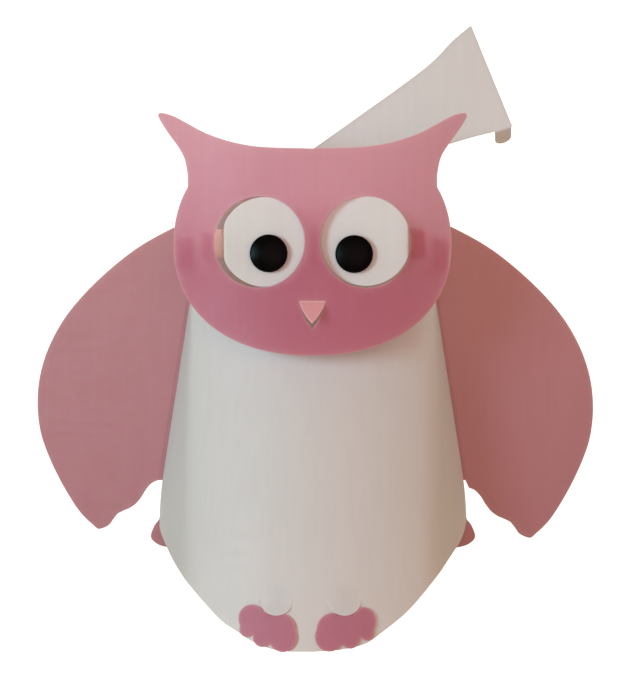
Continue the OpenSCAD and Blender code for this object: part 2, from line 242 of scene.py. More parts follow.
def grid(low, high, step):
    """Points on a triangular grid over a box."""
    rows = np.arange(low[1], high[1], step * 0.866)
    return np.vstack(
        [
            np.column_stack([np.arange(low[0] + (i % 2) * step / 2, high[0], step)] * 2)
            * [1, 0]
            + [0, y]
            for i, y in enumerate(rows)
        ]
    )


def united(loops, keep):
    """Outline of the largest region, made of the loops' cells, where keep(points) is true."""
    points = np.vstack(loops)
    edges, n = [], 0
    for loop in loops:
        edges += [(n + i, n + (i + 1) % len(loop)) for i in range(len(loop))]
        n += len(loop)
    verts, _, faces, _, _, _ = delaunay_2d_cdt(points.tolist(), edges, [], 0, 1e-5)
    verts = np.array([tuple(v) for v in verts])
    kept = keep(np.array([verts[list(f)].mean(0) for f in faces]))
    after = {}
    for face, good in zip(faces, kept):
        if good:
            for a, b in zip(face, face[1:] + face[:1]):
                after[a, b] = True
    nexts = {a: b for a, b in after if (b, a) not in after}
    best = []
    while nexts:
        start, at = next(iter(nexts.items()))
        run = [start]
        del nexts[start]
        while at != start and at in nexts:
            run.append(at)
            at = nexts.pop(at)
        best = max(best, run, key=len)
    return verts[best]


# ---------- meshes ----------


def area2(loop):
    return np.cross(loop, np.roll(loop, -1, 0)).sum()


def inset_points(loop, e, into):
    """The loop's points moved by e into the sheet."""
    d = np.roll(loop, -1, 0) - loop
    d /= np.maximum(np.linalg.norm(d, axis=1), 1e-9)[:, None]
    n = np.column_stack([-d[:, 1], d[:, 0]]) * into
    m = n + np.roll(n, 1, 0)
    return loop + e * m / np.maximum((m * n).sum(1), 0.35)[:, None]


def flat_points(loops, spacing, rows, extra):
    """The sheet's points: first those of its edges, then rows beside the edges, then the inside."""
    region = [np.array(loop) for loop in loops]
    edge = np.vstack(region)
    made = []
    for e in EDGE_ROWS:
        for i, loop in enumerate(region):
            into = np.sign(area2(loop)) * (1 if i == 0 else -1)
            made.append(inset_points(loop, e, into))
            ok = inside(made[-1], region)
            ok &= edge_distance(made[-1], region) > 0.93 * e
            made[-1] = apart(made[-1][ok], 0.3 * CUT_STEP)
    beside = np.vstack(made)
    low, high = edge.min(0), edge.max(0)
    fine = [np.array(x, float).reshape(-1, 2) for x in extra]
    for r in rows:
        v = np.arange(low[1], high[1], 1.2)
        fine.append(np.column_stack([np.full(len(v), r), v]))
    fine = np.vstack(fine) if fine else np.zeros((0, 2))
    if len(fine):
        ok = inside(fine, region)
        fine = fine[ok]
        fine = fine[edge_distance(fine, region) > 0.75]
        fine = apart(fine, 0.18)
    coarse = grid(low, high, spacing)
    coarse = coarse[inside(coarse, region)]
    coarse = coarse[edge_distance(coarse, region) > 0.6 * spacing]
    if len(fine):
        coarse = apart(coarse, 0.55 * spacing, fine)
    return np.vstack([edge, beside, fine, coarse]), region


def sheet(name, loops, place, spacing=GRID, rows=(), extra=(), groove=None, front=(0, -1, 0)):
    """A sheet cut to loops, the outer one first, with rounded edges.

    place(points) gives the front face's points, and front is roughly the way that face looks. rows are
    values of u that need a row of points, and extra holds more points. groove(points) is how far each face
    is pressed in.
    """
    loops = [refined(cut_at(loop, rows)) for loop in loops]
    flat, region = flat_points(loops, spacing, rows, extra)
    edges, n = [], 0
    for loop in region:
        edges += [(n + i, n + (i + 1) % len(loop)) for i in range(len(loop))]
        n += len(loop)
    verts, _, faces, orig, _, _ = delaunay_2d_cdt(flat.tolist(), edges, [], 0, 1e-6)
    uv = np.array([tuple(v) for v in verts])
    index = np.full(len(flat), -1)
    for i, sources in enumerate(orig):
        for s in sources:
            index[s] = i
    faces = np.array([f for f in faces if len(f) == 3])
    faces = faces[inside(uv[faces].mean(1), region)]
    far = edge_distance(uv, region)
    e = np.clip(far, 0, EDGE_R)
    drop = EDGE_R - np.sqrt(EDGE_R**2 - (EDGE_R - e) ** 2)
    if groove is not None:
        drop = drop + groove(uv)
    h = 0.02
    skin = place(uv)
    du = place(uv + [h, 0]) - place(uv - [h, 0])
    dv = place(uv + [0, h]) - place(uv - [0, h])
    normal = np.cross(du, dv)
    normal /= np.maximum(np.linalg.norm(normal, axis=1), 1e-12)[:, None]
    reversed_face = (normal @ np.array(front, float)).mean() < 0
    if reversed_face:
        normal = -normal
    a, b, c = (uv[faces[:, k]] for k in range(3))
    ccw = np.cross(b - a, c - a) > 0
    faces[~ccw] = faces[~ccw][:, ::-1]
    if reversed_face:
        faces = faces[:, ::-1]
    count = len(uv)
    points = np.vstack([skin - normal * drop[:, None], skin - normal * (SHEET - drop)[:, None]])
    polys = [tuple(f) for f in faces] + [tuple(f[::-1] + count) for f in faces]
    used = {}
    for f in faces:
        for i in range(3):
            used[f[i], f[(i + 1) % 3]] = True
    for p, q in used:
        if (q, p) not in used:
            polys.append((q, p, p + count, q + count))
    obj = mesh_object(name, points, polys)
    cut = np.clip(1 - far / PALE_EDGE, 0, 1)
    attribute = obj.data.attributes.new("cut", "FLOAT", "POINT")
    attribute.data.foreach_set("value", np.concatenate([cut, cut]).astype(np.float32))
    return obj


def mesh_object(name, points, polys):
    """A smooth-shaded mesh from points in millimetres, without loose points."""
    points = np.asarray(points, float)
    used = np.zeros(len(points), bool)
    for f in polys:
        used[list(f)] = True
    renamed = np.cumsum(used) - 1
    mesh = bpy.data.meshes.new(name)
    mesh.from_pydata((points[used] * MM).tolist(), [], [[int(renamed[i]) for i in f] for f in polys])
    mesh.shade_smooth()
    mesh.update()
    obj = bpy.data.objects.new(name, mesh)
    bpy.context.scene.collection.objects.link(obj)
    return obj


def rounded(profile, radius, n=3):
    """An open profile whose inner corners are rounded."""
    p = np.array(profile, float)
    made = [p[0]]
    for a, b, c in zip(p, p[1:], p[2:]):
        u, w = a - b, c - b
        r = min(radius, 0.45 * np.linalg.norm(u), 0.45 * np.linalg.norm(w))
        start, end = b + u / np.linalg.norm(u) * r, b + w / np.linalg.norm(w) * r
        for t in np.linspace(0, 1, n + 1):
            made.append(start * (1 - t) ** 2 + b * 2 * t * (1 - t) + end * t**2)
    return np.array(made + [p[-1]])


def turned(name, profile, places, axis, steps=72):
    """Round pieces standing on the places. profile holds (radius, height) from end to end of the axis."""
    axis = np.array(axis, float)
    across = np.array([0, 0, 1.0])
    side = np.cross(axis, across)
    angles = np.linspace(0, 2 * math.pi, steps, endpoint=False)
    points, polys = [], []
    inner = profile[1:-1]
    for foot in places:
        n = len(points)
        points += [foot + axis * profile[0][1], foot + axis * profile[-1][1]]
        for r, h in inner:
            points += [foot + axis * h + r * (across * math.cos(a) + side * math.sin(a)) for a in angles]
        ring = [[n + 2 + k * steps + i for i in range(steps)] for k in range(len(inner))]
        for i in range(steps):
            j = (i + 1) % steps
            polys.append((n, ring[0][j], ring[0][i]))
            polys.append((n + 1, ring[-1][i], ring[-1][j]))
            for lower, upper in zip(ring, ring[1:]):
                polys.append((lower[i], lower[j], upper[j], upper[i]))
    return mesh_object(name, points, polys)


class BentPath:
    """A sheet's face in plan: straight runs joined by arcs. at(u) gives (x, y), with u along the path."""

    def __init__(self, points, radius=1.1, start=0.0):
        p = np.array(points, float)
        self.runs, self.folds = [], []
        u, here = start, p[0]
        for i in range(1, len(p)):
            d = (p[i] - here) / np.linalg.norm(p[i] - here)
            if i == len(p) - 1:
                self.runs.append((u, here, d, None))
                self.end = u + np.linalg.norm(p[i] - here)
                break
            e = (p[i + 1] - p[i]) / np.linalg.norm(p[i + 1] - p[i])
            turn = math.atan2(np.cross(d, e), d @ e)
            back = radius * math.tan(abs(turn) / 2)
            length = np.linalg.norm(p[i] - here) - back
            self.runs.append((u, here, d, None))
            u, here = u + length, here + d * length
            self.runs.append((u, here, d, (turn, radius)))
            self.folds.append((u, u + radius * abs(turn)))
            u, here = u + radius * abs(turn), p[i] + e * back

    def at(self, u):
        u = np.asarray(u, float)
        made = np.zeros((len(u), 2))
        for k, (start, here, d, bend) in enumerate(self.runs):
            stop = self.runs[k + 1][0] if k + 1 < len(self.runs) else math.inf
            first = -math.inf if k == 0 else start
            on = (u >= first) & (u < stop)
            s = (u[on] - start)[:, None]
            if bend is None:
                made[on] = here + d * s
            else:
                turn, r = bend
                left = np.array([-d[1], d[0]]) * np.sign(turn)
                a = s / r
                made[on] = here + r * (d * np.sin(a) + left * (1 - np.cos(a)))
        return made

    def rows(self, n=4):
        """Values of u across each fold."""
        return [a + (b - a) * i / n for a, b in self.folds for i in range(n + 1)]


# ---------- the body sleeve ----------

LEFT_HEM = spline(
    [(0, -209.3), (16, -209), (28, -205.6), (36.3, -200.9), (44.2, -196.3), (57.9, -183.9), (64, -179)]
    + [(70.6, -173.3), (76.6, -165.7), (79.4, -160.4), (80.2, -156), (81, -150)]
)
RIGHT_HEM = spline(
    [(0, -209.3), (13, -208.6), (25, -206.3), (33.5, -201.2), (46.3, -192.1), (59.5, -179.3)]
    + [(69.9, -170.6), (74.6, -166.6), (78, -161.6), (79.8, -155.5), (81, -149)]
)


def hem_z(x):
    return np.where(
        x < 0,
        np.interp(np.abs(x), LEFT_HEM[:, 0], LEFT_HEM[:, 1]),
        np.interp(np.abs(x), RIGHT_HEM[:, 0], RIGHT_HEM[:, 1]),
    )


def seam_half(z):
    over = (SEAM_TOP - SEAM_FLARE * z - SEAM_WIDEST) / SEAM_EASE
    return SEAM_WIDEST - SEAM_EASE * np.logaddexp(0, -over)


def fold_at(z):
    return FOLD_DEPTH - FOLD_LEAN * z


def side_wall(z):
    """For each height: fold, seam, and the wall's direction, turn and length lost at the seam's bend."""
    z = np.asarray(z, float)
    fold = np.column_stack([np.full(len(z), FOLD_HALF), -fold_at(z)])
    seam = np.column_stack([seam_half(z), np.full(len(z), SEAM_Y)])
    wall = seam - fold
    wall /= np.linalg.norm(wall, axis=1)[:, None]
    turn = np.arccos(-wall[:, 0])
    return fold, seam, wall, turn, SEAM_BEND_R * np.tan(turn / 2)


def sleeve_plan(a, z):
    """Outer face of the sleeve in plan: a runs round the sheet from the middle of the front, at height z."""
    side = np.where(a < 0, -1.0, 1.0)
    a = np.abs(a)
    fold, seam, wall, turn, lost = side_wall(z)
    col = np.newaxis
    front = -fold_at(z) - FRONT_BOW
    bow = np.column_stack([BOW_R * np.sin(a / BOW_R), front + BOW_R * (1 - np.cos(a / BOW_R))])
    s = BOW_END / BOW_R
    start = np.column_stack([np.full(len(a), BOW_R * math.sin(s)), front + BOW_R * (1 - math.cos(s))])
    end = fold + FOLD_SOFT * wall
    t = np.clip((a - BOW_END) / (2 * FOLD_SOFT), 0, 1)[:, col]
    soft = start * (1 - t) ** 2 + fold * 2 * t * (1 - t) + end * t**2
    turn_at = seam - wall * lost[:, col]
    t = np.clip((a - SOFT_END) / SIDE_RUN, 0, 1)[:, col]
    run = end * (1 - t) + turn_at * t
    inward = np.column_stack([-wall[:, 1], wall[:, 0]])
    angle = (np.clip((a - SIDE_END) / (BEND_END - SIDE_END), 0, 1) * turn)[:, col]
    bend = turn_at + SEAM_BEND_R * (inward * (1 - np.cos(angle)) + wall * np.sin(angle))
    flange = seam - [1, 0] * (lost + a - BEND_END)[:, col]
    plan = np.select(
        [(a < BOW_END)[:, col], (a < SOFT_END)[:, col], (a < SIDE_END)[:, col], (a < BEND_END)[:, col]],
        [bow, soft, run, bend],
        flange,
    )
    plan[:, 0] *= side
    return plan


LEAN = math.hypot(1, FOLD_LEAN)


def foot_frames():
    """The middle of each foot's tongue on the sleeve, as (a, z), left one first."""
    return [(BOW_R * math.asin((side * FOOT_X + FOOT_OFF) / BOW_R), FOOT_Z) for side in (-1, 1)]


def foot_local(uv, at):
    """Sleeve coordinates measured from the middle of a foot's tongue."""
    return (uv - at) * [1, LEAN]


def tongue_lift(d):
    """How far a tongue stands out at a distance d below its fold."""
    soft = 0.5
    return math.tan(math.radians(TONGUE_LIFT)) * (np.sqrt(np.maximum(d, 0) ** 2 + soft**2) - soft)


def sleeve_bare(uv):
    plan = sleeve_plan(uv[:, 0], uv[:, 1])
    return np.column_stack([plan, uv[:, 1]])


def sleeve_normal(uv):
    h = 0.02
    across = sleeve_bare(uv + [h, 0]) - sleeve_bare(uv - [h, 0])
    n = np.cross(across, sleeve_bare(uv + [0, h]) - sleeve_bare(uv - [0, h]))
    return n / np.linalg.norm(n, axis=1)[:, None]


def sleeve(uv):
    """The sleeve's outer face, with its two tongues lifted off it."""
    out = np.zeros(len(uv))
    for at in foot_frames():
        p = foot_local(uv, at)
        on = (np.hypot(p[:, 0], p[:, 1] - TONGUE_DROP) < TONGUE_R + TONGUE_SLIT / 2) & (p[:, 1] < TONGUE_FOLD)
        out = np.where(on, tongue_lift(TONGUE_FOLD - p[:, 1]), out)
    return sleeve_bare(uv) + sleeve_normal(uv) * out[:, None]


def hem_run(side):
    """The sleeve's hem from the middle of the front to the seam, as (a, z)."""
    a = np.linspace(0, SIDE_END + 0.9, 130) * side
    z = np.full(len(a), -180.0)
    for _ in range(60):
        z = 0.5 * z + 0.5 * hem_z(sleeve_plan(a, z)[:, 0])
    return np.column_stack([a, z])


def on_side_wall(y, z):
    """Value of a where the side wall passes y at height z, and how much longer a runs than the wall there."""
    a = np.linspace(SOFT_END, SIDE_END, 400)
    plan = sleeve_plan(a, np.full(400, float(z)))
    stretch = SIDE_RUN / np.linalg.norm(plan[-1] - plan[0])
    return float(np.interp(y, plan[:, 1], a)), stretch


def flange_a(z, inwards):
    """Value of a on the flange, at a distance inwards from the seam."""
    return BEND_END + inwards - side_wall([z])[4][0]


def make_body():
    reach = BEND_END + FLANGE_W - 1.2
    edge = SIDE_END + 0.9
    side = [(edge, FLANGE_END), (reach - 4, FLANGE_END), (reach, FLANGE_END + 6), (reach, FLANGE_TOP - 6)]
    side += [(reach - 4, FLANGE_TOP), (edge, FLANGE_TOP), (edge, SLEEVE_TOP)]
    left, right = hem_run(-1), hem_run(1)
    outline = join(right, side, flipped(side), left[::-1])
    loops = [outline]
    extra = []
    for at in foot_frames():
        tip = math.degrees(math.asin((TONGUE_DROP - TONGUE_FOLD) / TONGUE_R))
        slit = join(
            arc((0, TONGUE_DROP), TONGUE_R + TONGUE_SLIT, -tip, tip - 180),
            arc((0, TONGUE_DROP), TONGUE_R, tip - 180, -tip),
        )
        loops.append(slit * [1, 1 / LEAN] + at)
        extra.append(grid((-9.5, -9), (9.5, 2.5), 1.0) * [1, 1 / LEAN] + at)
    a, stretch = on_side_wall(PIVOT_Y, PIVOT_Z)
    for s in (-1, 1):
        loops.append(circle((0, 0), FIXED_HOLE_R) * [stretch, 1] + [s * a, PIVOT_Z])
        for z in SIDE_RIVET_Z:
            loops.append(circle((s * flange_a(z, SIDE_RIVET_IN), z), SIDE_HOLE_R))
    bend = [s * (SIDE_END + (BEND_END - SIDE_END) * i / 4) for s in (-1, 1) for i in range(5)]
    obj = sheet("body_sleeve", loops, sleeve, spacing=2.8, rows=bend, extra=extra)
    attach(obj, "body")
    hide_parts("body_front")
    return obj


# ---------- the back panel and the wings ----------


def upright(front_y):
    """A flat sheet that faces the front."""
    return lambda uv: np.column_stack([uv[:, 0], np.full(len(uv), front_y), uv[:, 1]])


def make_back():
    head = [(0, 29), (22, 26.5), (40, 19), (50.5, 8), (55.5, -4)]
    tail = [(79.4, -150), (79.9, -155.5), (82.4, -159), (84.3, -164.5), (82.2, -167.9), (76.5, -170.3)]
    tail += [(60, -172.6), (30, -175.4), (0, -176.5)]
    side = [(float(seam_half(z)) - 0.6, z) for z in (-30, -138)]
    outline = both_sides(np.vstack([spline(head), side, spline(tail)]))
    loops = [outline, circle((0, 0), 3), circle(STRAP_PIVOT, 2.05)]
    for s in (-1, 1):
        loops += [circle((s * (float(seam_half(z)) - SIDE_RIVET_IN), z), SIDE_HOLE_R) for z in SIDE_RIVET_Z]
    obj = sheet("back_sheet", loops, upright(-SHEET), spacing=3.4)
    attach(obj, "body")
    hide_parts("back_panel")
    return obj


WING_EDGE = [(57.6, 2), (75, -5.2), (94, -15.6), (113.5, -31), (129, -47.2), (139, -63), (144.8, -79)]
WING_EDGE += [(146.6, -94.5), (145.2, -109), (141.3, -121), (133.7, -136.3), (123.5, -151.8), (114.8, -160)]
WING_TIP = [(114.8, -160), (112.6, -161.4), (109.4, -160.6), (106.6, -158.9), (104.5, -156), (102.2, -153.2)]
WING_LOBE = [(102.2, -153.2), (99, -151.6), (95.5, -150.1), (92, -147.5), (89.2, -144)]
WING_NOTCH = [(89.2, -144), (86.8, -140.2), (84, -137.2), (80.6, -135.6), (78, -135.2)]
WING_CORNER = np.array([66, -6])
WING_SIZES = {-1: 1.0, 1: 1.03}
ROOT_TOP, ROOT_END = -3, -135.4
HINGE_R = 2.2  # radius of the bend at the wing's fold line
HINGE_GROOVE = 0.24  # depth of the groove that makes the sheet bend there
CURL = 0.00016  # how much a wing curls back, per square of the distance from its fold line


def wing_axes(side):
    """A point on the fold line, its direction upwards, and the direction outwards in the panel's plane."""
    foot = np.array([side * (SEAM_TOP + HINGE_OUT), HINGE_Y, 0])
    up = np.array([-side * SEAM_FLARE, 0, 1]) / math.hypot(1, SEAM_FLARE)
    out = np.array([side, 0, SEAM_FLARE]) / math.hypot(1, SEAM_FLARE)
    return foot, up, out


def make_wing(side, name):
    foot, up, out = wing_axes(side)
    outline = np.vstack([spline(WING_EDGE), spline(WING_TIP), spline(WING_LOBE), spline(WING_NOTCH)])
    outline = (WING_CORNER + WING_SIZES[side] * (outline - WING_CORNER)) * [side, 1]

    def to_flat(points):
        p = np.column_stack([points[:, 0], np.zeros(len(points)), points[:, 1]]) - foot * [1, 0, 1]
        return np.column_stack([p @ out, p @ up])

    flat = to_flat(outline)
    flat = flat[flat[:, 0] > 0.6]
    root = [(side * (SEAM_TOP - SEAM_FLARE * z - FLANGE_W + 1), z) for z in (ROOT_END, ROOT_TOP)]
    low = to_flat(np.array([(side * (SEAM_TOP - SEAM_FLARE * ROOT_END + HINGE_OUT), ROOT_END)]))
    high = to_flat(np.array([(side * (SEAM_TOP - SEAM_FLARE * ROOT_TOP + HINGE_OUT), ROOT_TOP)]))
    loops = [join(flat, low + [-0.6, 0], to_flat(np.array(root)), high + [-0.6, 0])]
    rivet = np.array([(side * (float(seam_half(z)) - SIDE_RIVET_IN), z) for z in SIDE_RIVET_Z])
    loops += [circle(c, SIDE_HOLE_R) for c in to_flat(rivet)]
    sweep = math.radians(WING_SWEEP)
    plan = BentPath([(-20, 0), (0, 0), (200 * math.cos(sweep), 200 * math.sin(sweep))], HINGE_R, start=-20)

    def place(uv):
        p = plan.at(uv[:, 0])
        curl = CURL * np.maximum(uv[:, 0], 0) ** 2
        back = p[:, 1] + curl - SHEET / 2
        return foot + np.outer(p[:, 0], out) + np.outer(back, [0, 1, 0]) + np.outer(uv[:, 1], up)

    def groove(uv):
        return HINGE_GROOVE * np.clip(1 - np.abs(uv[:, 0]) / 0.55, 0, 1)

    obj = sheet(name, loops, place, rows=(-0.9, -0.55, -0.28, 0, 0.28, 0.55, 0.9), groove=groove)
    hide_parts(name.replace("_sheet", ""), name.replace("_sheet", "_root"))
    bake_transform(obj)
    return obj


# ---------- the head ----------

CROWN = [(0, 28.2), (20.5, 29), (32, 30.5), (42, 33.2), (52, 37.2), (60, 41.8), (67.5, 46.2), (72.3, 48.2)]
CROWN += [(75.2, 48.8)]
TUFT = [(75.2, 48.8), (76, 47.5), (74.2, 43.8), (70.5, 38.2), (65, 30.5), (62.1, 24.9), (60.6, 17.5)]
FACE_W, FACE_H, FACE_POWER, NOTCH_ANGLE = 67.8, 54.4, 0.91, 28
TAB_HALF = 7.5
BEAK_GAP = 0.15


def face_curve():
    """Lower face, from the notch under the tuft round to the chin."""
    a = np.radians(np.linspace(NOTCH_ANGLE, -90, 90))
    x = FACE_W * np.maximum(np.cos(a), 0) ** FACE_POWER
    z = EYE_Z + 0.2 + FACE_H * np.sign(np.sin(a)) * np.abs(np.sin(a)) ** FACE_POWER
    return np.column_stack([x, z])


def beak_side(gap):
    w = BEAK_W / 2 + gap
    return spline(
        [(w, BEAK_Z - gap), (w * 0.78, BEAK_Z - BEAK_H * 0.33), (w * 0.42, BEAK_Z - BEAK_H * 0.7)]
        + [(0, BEAK_Z - BEAK_H - gap)]
    )


def unrolled(points):
    """Front-view points laid flat off the mask's cylinder."""
    return np.column_stack([MASK_R * np.arcsin(points[:, 0] / MASK_R), points[:, 1]])


def mask(uv):
    a = uv[:, 0] / MASK_R
    return np.column_stack([MASK_R * np.sin(a), MASK_FRONT + MASK_R * (1 - np.cos(a)), uv[:, 1]])


def make_mask():
    outline = both_sides(np.vstack([spline(CROWN), spline(TUFT), face_curve()]))
    beak = both_sides(np.vstack([[(0, BEAK_Z)], [(BEAK_W / 2, BEAK_Z)], beak_side(BEAK_GAP)]))
    eyes = [circle((s * EYE_X, EYE_Z), EYE_HOLE_R) for s in (-1, 1)]
    obj = sheet("mask_sheet", [unrolled(x) for x in (outline, *eyes, beak)], mask, spacing=2.4)
    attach(obj, "head")
    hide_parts("face_mask")
    made = [obj]
    # The side tabs that carry the head's rivets, bonded behind the mask's edge
    for side, name in ((-1, "mask_tab_left"), (1, "mask_tab_right")):
        path = BentPath([(58.6, -54.2), (66.4, -49.4), (62.3, -27), (62.3, PIVOT_Y + 7)], 1.2)
        tip = path.end - 7
        tab = join(
            [(0, -TAB_HALF + 1.5), (1.5, -TAB_HALF), (tip, -TAB_HALF)],
            arc((tip, 0), TAB_HALF - 0.5, -90, 90),
            [(tip, TAB_HALF), (1.5, TAB_HALF), (0, TAB_HALF - 1.5)],
        )

        def place(uv, path=path, side=side):
            p = path.at(uv[:, 0])
            return np.column_stack([side * p[:, 0], p[:, 1], uv[:, 1] + PIVOT_Z])

        loops = [tab, circle((tip, 0), TURNING_HOLE_R)]
        tab_obj = sheet(name, loops, place, spacing=2, rows=path.rows(), front=(side, -0.3, 0))
        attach(tab_obj, "head")
        made.append(tab_obj)
    return made


def make_beak():
    side = beak_side(0) - [0, BEAK_Z]
    outline = both_sides(np.vstack([[(0, 0)], [(BEAK_W / 2 - 0.35, 0)], side[1:]]))
    # The flap hangs from the fold: v runs down it, so the sheet is laid out with u downwards
    outline = np.column_stack([-outline[:, 1], outline[:, 0]])
    bend = math.radians(BEAK_OPEN)
    fold, run = 0.35, 30
    plan = BentPath([(-5, 0), (fold, 0), (fold + run * math.cos(bend), -run * math.sin(bend))], 1.3, start=-5)

    def place(uv):
        p = plan.at(uv[:, 0])
        a = uv[:, 1] / MASK_R
        return np.column_stack(
            [MASK_R * np.sin(a), MASK_FRONT + MASK_R * (1 - np.cos(a)) + p[:, 1], BEAK_Z - p[:, 0]]
        )

    def groove(uv):
        return 0.2 * np.clip(1 - np.abs(uv[:, 0] - 0.5) / 0.5, 0, 1)

    obj = sheet("beak_sheet", [outline], place, spacing=1.2, rows=[0.15 * i for i in range(8)], groove=groove)
    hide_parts("beak_flap")
    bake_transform(obj)
    return obj


# Side, middle of the disc, and the path of its tab in plan from the fold backwards
EYES = {
    "left": (-1, 22.6, EYE_Z + 0.1, [(42.3, DISC_FRONT), (42.7, -53.2), (53.5, -56.3)]),
    "right": (1, 25.6, EYE_Z + 0.5, [(45.9, DISC_FRONT), (45.91, -59.8), (55, -55.8)]),
}


def make_disc(which):
    side, x, z, path = EYES[which]
    plan = BentPath([(-40, DISC_FRONT)] + path, 1.1, start=-40)
    fold = path[0][0]
    reach = math.degrees(math.acos((fold - x) / DISC_R))
    half = DISC_R * math.sin(math.radians(reach))
    outline = join(
        arc((x, 0), DISC_R, reach, 360 - reach),
        [(fold, -half), (fold + 0.1, -DISC_TAB_HALF - 0.15), (fold + 0.6, -DISC_TAB_HALF)],
        [(plan.end - 1.5, -DISC_TAB_HALF), (plan.end, 1.5 - DISC_TAB_HALF)],
        [(plan.end, DISC_TAB_HALF - 1.5), (plan.end - 1.5, DISC_TAB_HALF)],
        [(fold + 0.6, DISC_TAB_HALF), (fold + 0.1, DISC_TAB_HALF + 0.15)],
    )
    low, high = node_box(which + "_pupil")
    pupil = (low + high) / 2

    def place(uv):
        p = plan.at(uv[:, 0])
        return np.column_stack([side * p[:, 0], p[:, 1], uv[:, 1] + z])

    hole = circle((side * pupil[0], pupil[2] - z), FIXED_HOLE_R)
    obj = sheet(which + "_eye_sheet", [outline, hole], place, spacing=2, rows=plan.rows())
    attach(obj, "head")
    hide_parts(which + "_eye_disc")
    return obj


def make_pupil(which):
    """A snap button: a low dome with a short side wall, on a shank through the disc."""
    low, high = node_box(which + "_pupil")
    foot = np.array([(low[0] + high[0]) / 2, DISC_FRONT, (low[2] + high[2]) / 2])
    r, wall, top = (high[0] - low[0]) / 2, 2.4, DISC_FRONT - low[1]
    dome_r = (r**2 + (top - wall) ** 2) / (2 * (top - wall))
    angles = np.linspace(math.asin((r - 0.5) / dome_r), 0, 16)
    dome = [(dome_r * math.sin(a), top - dome_r * (1 - math.cos(a))) for a in angles]
    rim = rounded([(r - 0.5, 0.25), (r, 0.5), (r, wall + 0.12), dome[0]], 0.45, 5)
    shank = [(0, -SHEET - 2.4), (1.7, -SHEET - 2.4), (2, -SHEET - 2.1), (2, 0.25)]
    obj = turned(which + "_pupil_button", shank + list(rim[1:]) + dome[1:], [foot], (0, -1, 0), 96)
    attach(obj, "head")
    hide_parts(which + "_pupil")
    return obj


# ---------- the feet ----------

# Circles that make up a foot, as (x, z, radius): first the instep, then the toes
FOOT_LOBES = [(11.5, -8.8, 6.9), (5, -11, 7), (-1.8, -13.2, 7.8)]
FOOT_LOBES += [(14.4, -13.9, 3.5), (6.7, -17.2, 4.4), (-3.2, -16.6, 6.9)]
FEET = {"left": (-1, 0, 0), "right": (1, -2.7, -5)}  # side, shift and turn


def make_foot(which):
    side, shift, turn = FEET[which]
    at = np.array(foot_frames()[0 if side < 0 else 1])
    turn = math.radians(side * turn)
    spin = np.array([[math.cos(turn), math.sin(turn)], [-math.sin(turn), math.cos(turn)]])
    lobes = [((np.array([side * x, z]) @ spin) + [side * shift, 0], r) for x, z, r in FOOT_LOBES]
    cut_r, cut_low = TONGUE_R + 0.25, -5.2

    def kept(p):
        on = np.zeros(len(p), bool)
        for centre, r in lobes:
            on |= np.hypot(*(p - centre).T) < r
        under = (np.hypot(p[:, 0], p[:, 1] - TONGUE_DROP) < cut_r) & (p[:, 1] > cut_low)
        neck = (np.abs(p[:, 0]) < NECK_HALF) & (p[:, 1] > cut_low - 2) & (p[:, 1] < 7)
        return (on & ~under) | neck

    loops = [circle(centre, r) for centre, r in lobes]
    loops.append(circle((0, TONGUE_DROP), cut_r))
    loops.append(refined(np.array([(-12, cut_low), (12, cut_low), (12, 12), (-12, 12)])))
    neck_box = [(-NECK_HALF, cut_low - 2), (NECK_HALF, cut_low - 2), (NECK_HALF, 7), (-NECK_HALF, 7)]
    loops.append(refined(np.array(neck_box)))
    outline = smoothed(united(loops, kept))
    depth = [(-30, FOOT_LIFT), (-6.8, FOOT_LIFT), (-2.6, -1.3), (10, -1.3)]

    def place(uv):
        p = uv * [1, 1 / LEAN] + at
        neck = np.abs(uv[:, 0]) < NECK_HALF + 0.02
        out = np.where(neck, smooth_interp(uv[:, 1], depth), FOOT_LIFT)
        return sleeve_bare(p) + sleeve_normal(p) * out[:, None]

    extra = [grid((-NECK_HALF, -7.5), (NECK_HALF, 0), 0.7)]
    obj = sheet(which + "_foot_sheet", [outline], place, spacing=1.6, extra=extra)
    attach(obj, "body")
    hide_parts(which + "_foot")
    return obj


def smoothed(loop):
    """The closed loop with evenly spaced points, without tiny edges and with corners a little rounded."""
    closed = np.vstack([loop, loop[:1]])
    s = np.concatenate([[0], np.cumsum(np.linalg.norm(np.diff(closed, axis=0), axis=1))])
    even = np.linspace(0, s[-1], int(s[-1] / 0.7), endpoint=False)
    p = np.column_stack([np.interp(even, s, closed[:, k]) for k in (0, 1)])
    return 0.2 * np.roll(p, 1, 0) + 0.6 * p + 0.2 * np.roll(p, -1, 0)


def smooth_interp(v, knots):
    """Value at v between knots, with its corners eased over a millimetre."""
    x, y = np.array(knots, float).T
    return sum(np.interp(v + e, x, y) for e in np.linspace(-0.7, 0.7, 7)) / 7


# ---------- the strap ----------

STRAP_UPPER = [(-17, 25.6), (1, 37.4), (28.6, 57), (43.5, 67.6), (61, 81), (73, 93.2), (82.3, 101)]
STRAP_LOWER = [(103.9, 48.4), (95.5, 46), (82, 42.6), (40, 30), (-12.6, 15.4)]
LOCK_AT, LOCK_HALF, LOCK_LEN, LOCK_BEND = np.array([98.9, 47.2]), 4.4, 9.4, 65


